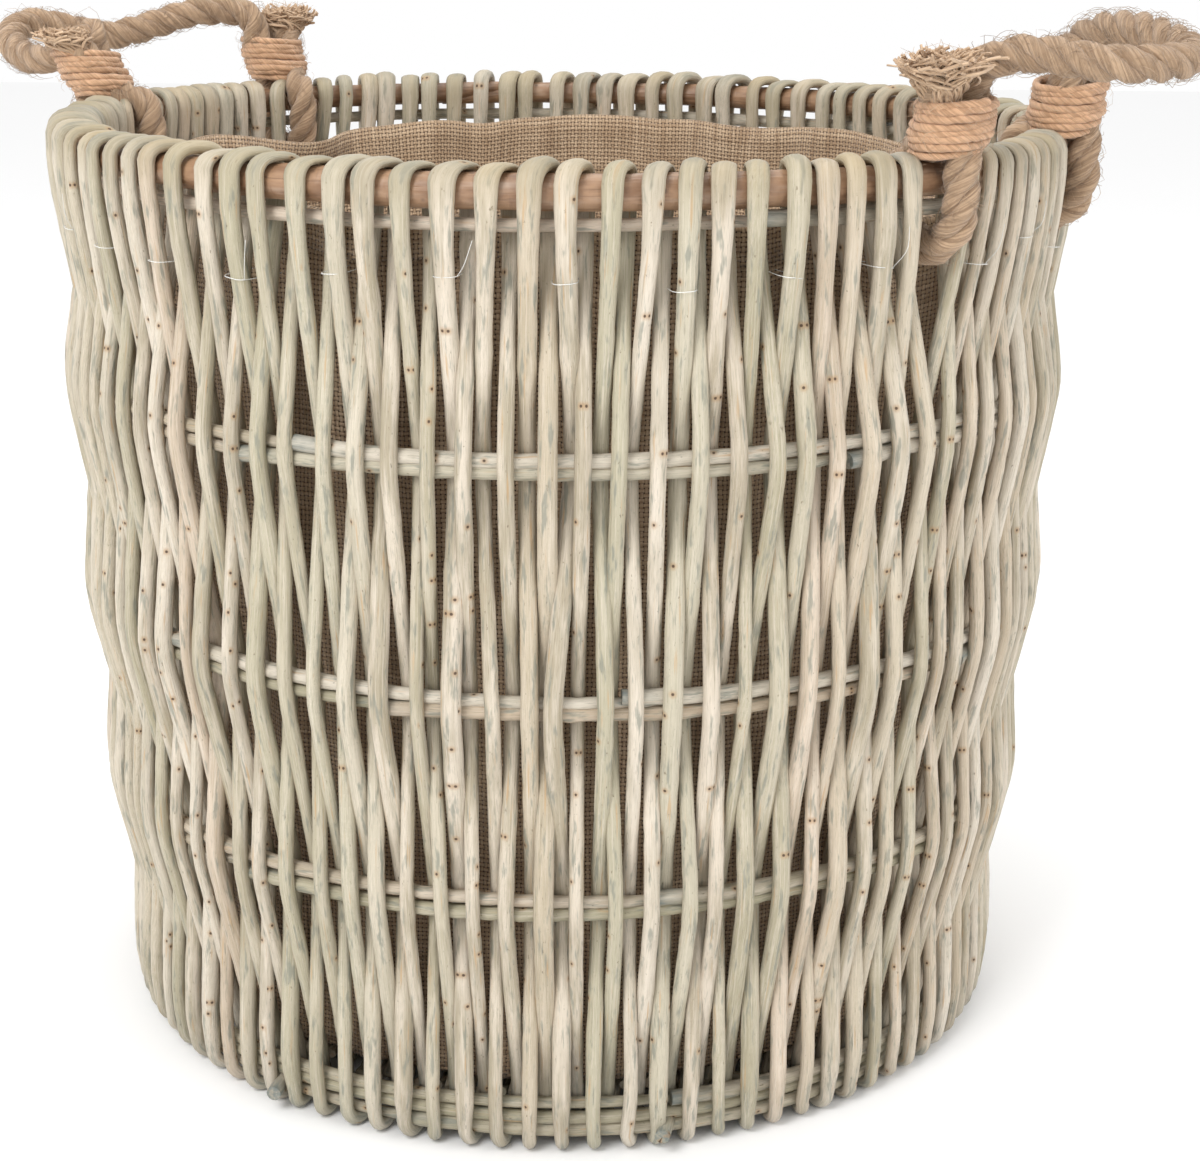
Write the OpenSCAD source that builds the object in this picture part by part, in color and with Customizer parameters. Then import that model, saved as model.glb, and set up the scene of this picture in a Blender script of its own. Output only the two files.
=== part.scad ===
// Round willow basket with a jute lining and two rope handles.
// Every upright rod is one hairpin: it hangs over the rim, and its two legs run
// down on opposite sides of each hoop, so that the legs and the hoops are woven.
// Origin: centre of the footprint, on the ground, +Z up. Millimetres.

/* [Basket] */
// Height of the rim rod's centre line above the ground
rim_height = 450; // [380:1:560]
// Radius of the rim rod's centre line
rim_radius = 244; // [205:1:300]
// Radius of the hoops' centre line at ground level
foot_radius = 228; // [209:1:264]

/* [Rods] */
// Number of places for hairpin rods round the rim, a multiple of the groups
rod_places = 96; // [84:12:96]
// Thickness of a hairpin rod
rod_d = 7; // [5:0.1:7]
// Thickness of the rim rod
rim_rod_d = 15.5; // [12:0.5:19]
// Thickness of the thin hoop under the rim
top_hoop_d = 6.5; // [5:0.5:8]
// Thickness of the weavers that go round in pairs
weaver_d = 6.5; // [5:0.5:8]
// Thickness of the hoops at the foot
foot_hoop_d = 6.5; // [5:0.5:8]
// Free space between rods that lie against each other
rod_gap = 0.3; // [0.2:0.1:0.6]

/* [Bands] */
// Height of the upper band of weavers
upper_band_z = 335; // [310:1:355]
// Height of the middle band of weavers
middle_band_z = 226; // [200:1:255]
// Height of the lower band of weavers
lower_band_z = 128; // [100:1:155]

/* [Floor] */
// Thickness of the two runners under the floor
runner_d = 7; // [6:0.5:8]
// Distance of each runner from the middle
runner_offset = 95; // [60:5:130]
// Direction in which the runners point, seen from above
runner_turn = -102; // [-180:1:180]
// Thickness of the floor sticks
floor_stick_d = 6; // [5:0.5:7]
// Distance between two floor sticks
floor_stick_pitch = 28; // [20:1:40]
// Thickness of the split rods that close the floor
floor_rod_d = 5; // [4:0.5:6]

/* [Lining] */
// Thickness of the jute cloth with its folds
lining_t = 1.5; // [1:0.1:2.5]
// How far the lining's upper edge lies under the rim rod's centre line
lining_drop = 14; // [10:1:30]

/* [Handles] */
// Thickness of the handle rope
rope_d = 16.5; // [13:0.5:17]
// Outer diameter of the twine whipping round both legs of a rope eye
whipping_d = 34; // [33:0.5:37]
// Length of a twine whipping
whipping_h = 26; // [20:1:32]
// Length of the frayed rope end above a whipping
tuft_h = 16; // [10:1:20]

/* [Hidden] */
$fn = 48;

willow = [0.80, 0.76, 0.64];
dark_willow = [0.56, 0.38, 0.27];
jute = [0.64, 0.50, 0.37];
rope_jute = [0.68, 0.54, 0.41];
twine = [0.81, 0.58, 0.40];

// Rods
rod_r = rod_d / 2;
group_count = 12;
pitch = 360 / rod_places;
knot_r = rod_r + 0.4;
knot_trim = 1;

// Heights of the hoops
top_hoop_z = rim_height - rim_rod_d / 2 - top_hoop_d / 2 - 2;
foot_wrap_r = foot_hoop_d / 2 + rod_gap + rod_r;
foot_flat = 0.35;
foot_bend_r = rod_r - 0.1;
foot_low_z = foot_wrap_r + foot_bend_r - foot_flat;
foot_middle_z = foot_low_z + foot_hoop_d;
foot_high_z = foot_middle_z + foot_hoop_d;

// How far the middle of a rod lies to the side of each hoop
rim_side = rim_rod_d / 2 + rod_gap + rod_r;
weaver_side = weaver_d / 2 + rod_gap + rod_r + 0.6;

// Floor
runner_z = foot_low_z + runner_d / 2 - foot_hoop_d / 2 + rod_gap;
floor_stick_z = runner_z + runner_d / 2 + floor_stick_d / 2 + 0.1;
floor_rod_z = floor_stick_z + floor_stick_d / 2 + floor_rod_d / 2 + 0.1;
floor_top_z = floor_rod_z + floor_rod_d / 2 + 0.1;
floor_radius = hoop_radius(foot_low_z) - foot_wrap_r - 1.6 - rod_r - 0.8;

// Lining
lining_side = weaver_side + rod_r + 0.5;
lining_top_z = rim_height - lining_drop;
// Above lining_bend_z the lining leans in, clear of the inner legs, which slant from
// the rim rod's inner side to the upper band's outer side
leg_slant = (rim_side + weaver_side) / (rim_height - upper_band_z);
lining_bend_z = rim_height - (rim_side - weaver_side) / leg_slant - 4.6;
lining_top_side = rim_side - leg_slant * lining_drop + rod_r + 0.94;
lining_floor_z = floor_top_z + lining_t;

// Rope handles: each eye lies between two hairpins, counted in places of rods, and
// pushes the tops of the rods beside it apart
rope_r = rope_d / 2;
right_eyes = [-13.25, -5.25];
left_eyes = [43.75, 35.75];
eyes = concat(right_eyes, left_eyes);
eye_push = 0.7;
push_reach = 7;
eye_r = rim_rod_d / 2 + rope_r + 0.5;
eye_shoulder_z = rim_height + 7;
neck_r = rope_r - 1.2;
eye_lean = 5;
whipping_z = rim_height + rim_side + rod_r + 1;
whipping_top = whipping_z + whipping_h;
hinge_z = whipping_top + rope_r + 1.5;
root_shift = 8.5;

// Route of a handle rope from its hinge to the middle of the arch: sideways from
// the arch's middle, outwards from the hinge, and up from the hinge
half_route = [
    [56, 0, 0], [55, 6, 5], [53, 15, 9], [51, 27, 11], [48, 40, 11],
    [43, 54, 9], [36, 68, 6], [27, 80, 2], [15, 89, -1], [0, 92, -2]
];
half_span = (right_eyes[1] - right_eyes[0]) / 2 * pitch;
route_scale = (rim_radius * sin(half_span) + 1 - root_shift) / half_route[0][0];
hinge_out = (rim_radius + eye_lean) * cos(half_span);
rope_sides = 10;

// Places between a rod and an eye, the short way round
function places_from(place, eye) =
    (place - eye + 1.5 * rod_places) % rod_places - rod_places / 2;
function pushed(away) =
    abs(away) < push_reach ? sign(away) * eye_push * (1 - abs(away) / push_reach) : 0;
function sum(list, i = 0) = i < len(list) ? list[i] + sum(list, i + 1) : 0;
// Direction of a rod's top on the rim, with the push of the eyes
function rim_turn(place) =
    pitch * (place + sum([for (eye = eyes) pushed(places_from(place, eye))]));
function hoop_radius(z) = foot_radius + (rim_radius - foot_radius) * z / rim_height;
function spot(turn, side, z) = [
    (hoop_radius(z) + side) * cos(turn),
    (hoop_radius(z) + side) * sin(turn),
    z
];

// A straight stretch of rod between two knots, cut back a little at each end
module stretch(a, b, r = rod_r, cut_a = knot_trim, cut_b = knot_trim) {
    way = b - a;
    length = norm(way);
    translate(a)
        rotate([0, acos(way[2] / length), atan2(way[1], way[0])])
            translate([0, 0, cut_a])
                cylinder(h = length - cut_a - cut_b, r = r);
}

// A round knot; its poles point sideways, clear of the stretches that enter it
module knot(at, r) {
    translate(at) rotate([90, 0, 0]) sphere(r = r);
}

// Stretches through a list of points with a round knot at each inner point
module rod_chain(points) {
    for (i = [0 : len(points) - 2])
        stretch(points[i], points[i + 1],
            cut_b = i == len(points) - 2 ? 0 : knot_trim);
    for (i = [0 : len(points) - 2])
        knot(points[i], knot_r);
}

// The bend over the rim from the inner leg's top to the outer leg's top
module rim_bend(outer, inner) {
    bend_r = norm(outer - inner) / 2;
    trim = knot_trim / bend_r * 180 / PI;
    across = outer - inner;
    translate((outer + inner) / 2)
        rotate([0, 0, atan2(across[1], across[0])])
            rotate([90, 0, 0])
                rotate([0, 0, trim])
                    rotate_extrude(angle = 180 - 2 * trim)
                        translate([bend_r, 0]) circle(r = rod_r);
}

// The bend under the lowest hoop, to under its inner side; it starts inside the leg
module foot_bend() {
    translate(spot(0, 0, foot_low_z))
        rotate([90, 0, 0])
            rotate([0, 0, -140])
                rotate_extrude(angle = 148)
                    translate([foot_wrap_r, 0]) circle(r = foot_bend_r);
}

// One hairpin rod: both legs, the bend over the rim and the bend under the foot,
// drawn in the direction of its outer leg's foot
module hairpin(place) {
    outer_turn = 0;
    inner_turn = pitch / 2;
    foot_turn = place * pitch;
    outer_leg = [
        spot(rim_turn(place) - foot_turn, rim_side, rim_height),
        spot(outer_turn, -weaver_side, upper_band_z),
        spot(outer_turn, weaver_side, middle_band_z),
        spot(outer_turn, -weaver_side, lower_band_z),
        spot(outer_turn, foot_wrap_r, foot_low_z) + [0, 0, foot_high_z + 2 - foot_low_z],
        spot(outer_turn, foot_wrap_r, foot_low_z)
    ];
    inner_leg = [
        spot(rim_turn(place + 0.5) - foot_turn, -rim_side, rim_height),
        spot(inner_turn, weaver_side, upper_band_z),
        spot(inner_turn, -weaver_side, middle_band_z),
        spot(inner_turn, weaver_side, lower_band_z),
        spot(inner_turn, -foot_wrap_r - 1.6, foot_low_z + 4)
    ];
    union() {
        rod_chain(outer_leg);
        rod_chain(inner_leg);
        rim_bend(outer_leg[0], inner_leg[0]);
        foot_bend();
    }
}

// A twelfth of the wall; the undersides stand flat on the ground
module rod_group(index) {
    first = index * rod_places / group_count;
    color(willow)
        for (place = [first : first + rod_places / group_count - 1])
            difference() {
                rotate([0, 0, place * pitch]) hairpin(place);
                translate([0, 0, -5])
                    linear_extrude(5) square(2 * rim_radius + 40, center = true);
            }
}

module ring(z, thickness, shade, radius = 0) {
    color(shade)
        translate([0, 0, z])
            rotate_extrude($fn = 96)
                translate([radius > 0 ? radius : hoop_radius(z), 0])
                    circle(d = thickness, $fn = 32);
}

// The three hoops at the foot stand straight over each other
module foot_hoop(z) {
    ring(z, foot_hoop_d, willow, hoop_radius(foot_low_z));
}

module weaver(band_z, level) {
    ring(band_z + level * (weaver_d / 2 + 0.05), weaver_d, willow);
}

// A rod that lies across the floor at a distance from its middle
module floor_bar(offset, z, thickness) {
    half = sqrt(pow(floor_radius - thickness / 2, 2) - pow(abs(offset) + thickness / 2, 2));
    translate([-half, offset, z])
        rotate([0, 90, 0]) cylinder(h = 2 * half, d = thickness);
}

module floor_runners() {
    color(dark_willow)
        rotate([0, 0, runner_turn])
            for (side = [-1, 1])
                floor_bar(side * runner_offset, runner_z, runner_d);
}

module floor_sticks() {
    rows = floor((floor_radius - 15) / floor_stick_pitch);
    color(willow)
        rotate([0, 0, runner_turn + 90])
            for (row = [-rows : rows])
                floor_bar(row * floor_stick_pitch, floor_stick_z, floor_stick_d);
}

module floor_rods() {
    row_pitch = floor_rod_d + 0.2;
    rows = floor((floor_radius - 12) / row_pitch);
    color(willow)
        rotate([0, 0, runner_turn])
            for (row = [-rows : rows])
                floor_bar(row * row_pitch, floor_rod_z, floor_rod_d);
}

module lining_wall() {
    low = lining_floor_z + 0.2;
    low_r = hoop_radius(low) - lining_side;
    bend_r = hoop_radius(lining_bend_z) - lining_side;
    top_r = hoop_radius(lining_top_z) - lining_top_side;
    color(jute)
        difference() {
            rotate_extrude($fn = 96)
                polygon([
                    [low_r - lining_t, low], [low_r, low], [bend_r, lining_bend_z],
                    [top_r, lining_top_z], [top_r - lining_t, lining_top_z],
                    [bend_r - lining_t, lining_bend_z]
                ]);
            for (eye = eyes)
                rotate([0, 0, eye * pitch])
                    translate([rim_radius - 60, -rope_r - 1, top_hoop_z - eye_r - rope_r - 1])
                        cube([60, rope_d + 2, 100]);
        }
}

module lining_floor() {
    color(jute)
        translate([0, 0, floor_top_z])
            cylinder(h = lining_t, r = hoop_radius(floor_top_z) - lining_side - 1, $fn = 96);
}

// Turns a rope eye's own directions (outwards, sideways, up) to its place
module at_eye(eye) {
    rotate([0, 0, eye * pitch])
        translate([rim_radius, 0, 0])
            children();
}

// A rope eye round the rim rod and the top hoop; both its legs are squeezed together
// under the whipping
module rope_eye(eye) {
    color(rope_jute)
        at_eye(eye)
            difference() {
                union() {
                    translate([0, 0, top_hoop_z])
                        rotate([90, 0, 0])
                            rotate([0, 0, 180])
                                rotate_extrude(angle = 180)
                                    translate([eye_r, 0]) circle(r = rope_r);
                    for (side = [-1, 1]) {
                        shoulder = [side * eye_r, 0, eye_shoulder_z];
                        neck = [eye_lean + side * neck_r, 0, whipping_z + 3];
                        stretch([side * eye_r, 0, top_hoop_z], shoulder, rope_r, 0, 1.6);
                        translate(shoulder) sphere(r = rope_r + 0.5);
                        stretch(shoulder, neck, neck_r, 1.6, 0);
                    }
                }
                translate([-40, -20, whipping_z - 0.1]) cube([80, 40, 30]);
            }
}

module whipping(eye) {
    color(twine)
        at_eye(eye)
            translate([eye_lean, 0, whipping_z]) cylinder(h = whipping_h, d = whipping_d);
}

// The frayed end of the rope, on the side that faces away from the arch
module tuft(eye, away) {
    color(rope_jute)
        at_eye(eye)
            translate([eye_lean, away * root_shift, whipping_top + 0.1])
                cylinder(h = tuft_h, r = rope_r - 0.5);
}

// The route of one handle rope, worked out from its half route
function handle_route() = concat(
    [for (p = half_route) [hinge_out + p[1], -p[0] * route_scale, hinge_z + p[2]]],
    [for (i = [len(half_route) - 2 : -1 : 0])
        let (p = half_route[i]) [hinge_out + p[1], p[0] * route_scale, hinge_z + p[2]]]
);

function unit(v) = v / norm(v);
function way_at(route, i) = unit(
    route[min(i + 1, len(route) - 1)] - route[max(i - 1, 0)]
);

// One closed skin swept along the route, with a flat end at each hinge
module swept_rope(route, r) {
    rings = len(route);
    points = [
        for (i = [0 : rings - 1])
            let (
                way = way_at(route, i),
                side = unit(cross(way, [0, 0, 1])),
                lift = cross(side, way)
            )
            for (k = [0 : rope_sides - 1])
                let (a = k * 360 / rope_sides)
                route[i] + r * (cos(a) * side + sin(a) * lift)
    ];
    skin = [
        for (i = [0 : rings - 2])
            for (k = [0 : rope_sides - 1])
                let (n = (k + 1) % rope_sides, low = i * rope_sides, high = low + rope_sides)
                [low + k, low + n, high + n, high + k]
    ];
    first_end = [for (k = [rope_sides - 1 : -1 : 0]) k];
    last_end = [for (k = [0 : rope_sides - 1]) (rings - 1) * rope_sides + k];
    polyhedron(points, concat([first_end, last_end], skin), convexity = 6);
}

module handle_rope(ends) {
    color(rope_jute)
        rotate([0, 0, (ends[0] + ends[1]) / 2 * pitch])
            swept_rope(handle_route(), rope_r);
}

ring(rim_height, rim_rod_d, dark_willow);  // rim_hoop
ring(top_hoop_z, top_hoop_d, willow);  // top_hoop
weaver(upper_band_z, 1);  // upper_weaver_high
weaver(upper_band_z, -1);  // upper_weaver_low
weaver(middle_band_z, 1);  // middle_weaver_high
weaver(middle_band_z, -1);  // middle_weaver_low
weaver(lower_band_z, 1);  // lower_weaver_high
weaver(lower_band_z, -1);  // lower_weaver_low
foot_hoop(foot_high_z + 0.2);  // foot_hoop_high
foot_hoop(foot_middle_z + 0.1);  // foot_hoop_middle
foot_hoop(foot_low_z);  // foot_hoop_low
rod_group(0);  // rods_01
rod_group(1);  // rods_02
rod_group(2);  // rods_03
rod_group(3);  // rods_04
rod_group(4);  // rods_05
rod_group(5);  // rods_06
rod_group(6);  // rods_07
rod_group(7);  // rods_08
rod_group(8);  // rods_09
rod_group(9);  // rods_10
rod_group(10);  // rods_11
rod_group(11);  // rods_12
floor_runners();
floor_sticks();
floor_rods();
lining_wall();
lining_floor();
rope_eye(right_eyes[0]);  // right_eye_front
rope_eye(right_eyes[1]);  // right_eye_rear
rope_eye(left_eyes[0]);  // left_eye_front
rope_eye(left_eyes[1]);  // left_eye_rear
whipping(right_eyes[0]);  // right_whipping_front
whipping(right_eyes[1]);  // right_whipping_rear
whipping(left_eyes[0]);  // left_whipping_front
whipping(left_eyes[1]);  // left_whipping_rear
tuft(right_eyes[0], -1);  // right_tuft_front
tuft(right_eyes[1], 1);  // right_tuft_rear
tuft(left_eyes[0], 1);  // left_tuft_front
tuft(left_eyes[1], -1);  // left_tuft_rear
handle_rope(right_eyes);  // right_handle_rope
handle_rope(left_eyes);  // left_handle_rope
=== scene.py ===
import math
import random

import bpy
import numpy as np
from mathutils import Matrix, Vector


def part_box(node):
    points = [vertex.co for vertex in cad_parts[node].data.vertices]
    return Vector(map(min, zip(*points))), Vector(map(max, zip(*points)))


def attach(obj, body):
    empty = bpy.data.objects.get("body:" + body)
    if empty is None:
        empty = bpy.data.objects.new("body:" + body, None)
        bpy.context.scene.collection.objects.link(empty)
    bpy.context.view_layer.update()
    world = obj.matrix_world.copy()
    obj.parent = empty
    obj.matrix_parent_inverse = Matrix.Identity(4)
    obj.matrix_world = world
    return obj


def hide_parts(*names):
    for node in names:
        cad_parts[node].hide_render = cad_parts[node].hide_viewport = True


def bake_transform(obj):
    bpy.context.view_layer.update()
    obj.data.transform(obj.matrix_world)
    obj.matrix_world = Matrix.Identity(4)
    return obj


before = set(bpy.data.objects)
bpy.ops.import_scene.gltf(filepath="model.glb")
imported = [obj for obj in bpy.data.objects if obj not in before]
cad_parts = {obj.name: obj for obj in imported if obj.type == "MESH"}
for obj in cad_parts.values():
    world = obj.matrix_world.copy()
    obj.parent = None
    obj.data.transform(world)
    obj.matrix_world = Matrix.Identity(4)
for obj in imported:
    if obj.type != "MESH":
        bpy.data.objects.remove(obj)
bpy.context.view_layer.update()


# ---------------------------------------------------------------- the view
# A close standing view, a little above the rim, with soft studio light from the
# front left and above, on a white sweep of paper.
camera_data = bpy.data.cameras.new("view_camera")
camera_data.lens = 67.2
camera_data.sensor_width = 36.0
camera_data.clip_start = 0.05
camera = bpy.data.objects.new("view_camera", camera_data)
camera.location = (0.0, -1.159, 0.564)
camera.rotation_mode = "XYZ"
camera.rotation_euler = (math.radians(90 - 16.93), math.radians(-0.51), math.radians(-0.81))
bpy.context.collection.objects.link(camera)
bpy.context.scene.camera = camera


def soft_lamp(name, place, size, power, warmth=(1.0, 1.0, 1.0)):
    """A large square lamp that faces the middle of the basket."""
    data = bpy.data.lights.new(name, "AREA")
    data.shape = "SQUARE"
    data.size = size
    data.energy = power
    data.color = warmth
    lamp = bpy.data.objects.new(name, data)
    lamp.location = place
    aim = Vector((0.0, 0.0, 0.25)) - Vector(place)
    lamp.rotation_euler = aim.to_track_quat("-Z", "Y").to_euler()
    bpy.context.collection.objects.link(lamp)


soft_lamp("key_lamp", (-1.0, -1.7, 1.9), 0.9, 34)
soft_lamp("fill_lamp", (1.9, -1.3, 1.2), 1.2, 9)
soft_lamp("top_lamp", (0.2, 0.5, 2.4), 1.2, 14)

world = bpy.data.worlds.new("studio_world")
world.use_nodes = True
world.node_tree.nodes["Background"].inputs["Color"].default_value = (1.0, 1.0, 1.0, 1.0)
world.node_tree.nodes["Background"].inputs["Strength"].default_value = 1.0
bpy.context.scene.world = world
bpy.context.scene.view_settings.view_transform = "Standard"

floor_mesh = bpy.data.meshes.new("paper_floor")
floor_mesh.from_pydata([(-6, -6, 0), (6, -6, 0), (6, 6, 0), (-6, 6, 0)], [], [(0, 1, 2, 3)])
paper_floor = bpy.data.objects.new("paper_floor", floor_mesh)
bpy.context.collection.objects.link(paper_floor)
paper = bpy.data.materials.new("white_paper")
paper.use_nodes = True
paper.node_tree.nodes["Principled BSDF"].inputs["Base Color"].default_value = (0.93, 0.93, 0.93, 1)
paper.node_tree.nodes["Principled BSDF"].inputs["Roughness"].default_value = 0.9
floor_mesh.materials.append(paper)


# ---------------------------------------------------------------- handle ropes
# Each handle is one length of three-strand jute rope: its frayed end stands above
# a whipping, the rope goes round the rim as an eye, swings out as the handle's
# arch, and ends in the second eye in the same way.

def measure_ring(name):
    """Centre-line radius, height and half thickness of a hoop in the frame."""
    low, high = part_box(name)
    half = (high[2] - low[2]) / 2
    return high[0] - half, (high[2] + low[2]) / 2, half


rim_radius, rim_z, rim_rod_r = measure_ring("rim_hoop")
top_hoop_z, top_hoop_r = measure_ring("top_hoop")[1:]

rope_d = 0.0165
rope_r = rope_d / 2
rod_places = 96
rod_step = 2 * math.pi / rod_places
# front and rear are the places of a handle's two eyes, counted in rods round the rim.
# away is the side of the eye on which its frayed end stands, and lean is how far its
# whipping leans out for its height. The arch's points are sideways from its middle,
# outwards from the hinge and up from it, from the lower place to the higher one.
handles = {
    "right": {
        "front": -13.25, "rear": -5.25,
        "away": {"front": -1, "rear": 1}, "lean": {"front": 0.25, "rear": 0.12},
        "arch": [
            (-0.056, 0.000, 0.000), (-0.055, 0.009, 0.006), (-0.052, 0.024, 0.009),
            (-0.048, 0.042, 0.008), (-0.042, 0.060, 0.006), (-0.030, 0.076, 0.006),
            (-0.010, 0.085, 0.007), (0.012, 0.075, 0.010), (0.027, 0.057, 0.014),
            (0.039, 0.038, 0.016), (0.048, 0.020, 0.014), (0.054, 0.006, 0.008),
            (0.056, 0.000, 0.000),
        ],
    },
    "left": {
        "front": 44.25, "rear": 35.25,
        "away": {"front": 1, "rear": -1}, "lean": {"front": 0.50, "rear": 0.30},
        "arch": [
            (-0.060, 0.000, 0.000), (-0.058, 0.007, 0.004), (-0.050, 0.019, 0.006),
            (-0.038, 0.035, 0.004), (-0.022, 0.053, -0.003), (-0.004, 0.070, -0.008),
            (0.014, 0.083, -0.003), (0.033, 0.090, 0.000), (0.049, 0.084, -0.007),
            (0.060, 0.062, -0.015), (0.065, 0.037, -0.016), (0.064, 0.014, -0.009),
            (0.060, 0.000, -0.001),
        ],
    },
}
eye_lean = 0.005
root_shift = 0.0085
whipping_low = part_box("right_whipping_front")[0][2] - 0.007
whipping_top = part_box("right_whipping_front")[1][2] - 0.006
hinge_z = whipping_top + rope_r


def material_tree(name):
    """A new material, its shader and its node tree."""
    made = bpy.data.materials.new(name)
    made.use_nodes = True
    shader = made.node_tree.nodes["Principled BSDF"]
    return made, shader, made.node_tree


def wire(tree, kind, values, **settings):
    """Adds a node. values are its inputs, by name or number: sockets are linked, others set."""
    made = tree.nodes.new(kind)
    for key, value in settings.items():
        setattr(made, key, value)
    for key, value in values.items():
        if isinstance(value, bpy.types.NodeSocket):
            tree.links.new(value, made.inputs[key])
        else:
            made.inputs[key].default_value = value
    return made


def calc(tree, operation, a, b=0.0, c=0.0):
    """One step of arithmetic in a shader or geometry tree."""
    return wire(tree, "ShaderNodeMath", {0: a, 1: b, 2: c}, operation=operation).outputs[0]


def ramp(tree, value, low, high, to_low=0.0, to_high=1.0):
    """Maps low..high smoothly to to_low..to_high."""
    made = wire(
        tree, "ShaderNodeMapRange",
        {"Value": value, 1: low, 2: high, 3: to_low, 4: to_high},
        interpolation_type="SMOOTHSTEP",
    )
    return made.outputs[0]


def blend_colour(tree, amount, first, second, how="MIX"):
    """Mixes two colours, each a socket or four numbers."""
    made = wire(
        tree, "ShaderNodeMix", {0: amount, 6: first, 7: second},
        data_type="RGBA", blend_type=how,
    )
    return made.outputs[2]


def layered(tree, body, layers):
    """Lays colours over a body: each with the value that shows it and that value's ramp."""
    for value, ends, colour in layers:
        body = blend_colour(tree, ramp(tree, value, *ends), body, colour + (1,))
    return body


def vector_math(tree, operation, a, b=(0.0, 0.0, 0.0), output=0):
    """One step of vector arithmetic in a shader or geometry tree."""
    made = wire(tree, "ShaderNodeVectorMath", {0: a, 1: b}, operation=operation)
    return made.outputs[output]


def scaled(tree, a, amount):
    """A vector times a number."""
    made = wire(tree, "ShaderNodeVectorMath", {0: a, "Scale": amount}, operation="SCALE")
    return made.outputs[0]


def attribute(tree, name, output="Vector"):
    """An attribute of the mesh, as a vector or as one number."""
    return wire(tree, "ShaderNodeAttribute", {}, attribute_name=name).outputs[output]


def noise(tree, vector, scale, detail=2.0, roughness=0.5):
    """Smooth noise from 0 to 1."""
    return wire(
        tree, "ShaderNodeTexNoise",
        {"Vector": vector, "Scale": scale, "Detail": detail, "Roughness": roughness},
    ).outputs[0]


def stretched(tree, vector, across, along):
    """A vector scaled by across on its first two axes and by along on the third."""
    return vector_math(tree, "MULTIPLY", vector, (across, across, along))


def bump(tree, shader, height, distance, strength=1.0):
    """Lets a height in metres turn the shader's normal."""
    made = wire(tree, "ShaderNodeBump", {"Height": height, "Distance": distance, "Strength": strength})
    tree.links.new(made.outputs[0], shader.inputs["Normal"])


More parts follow.
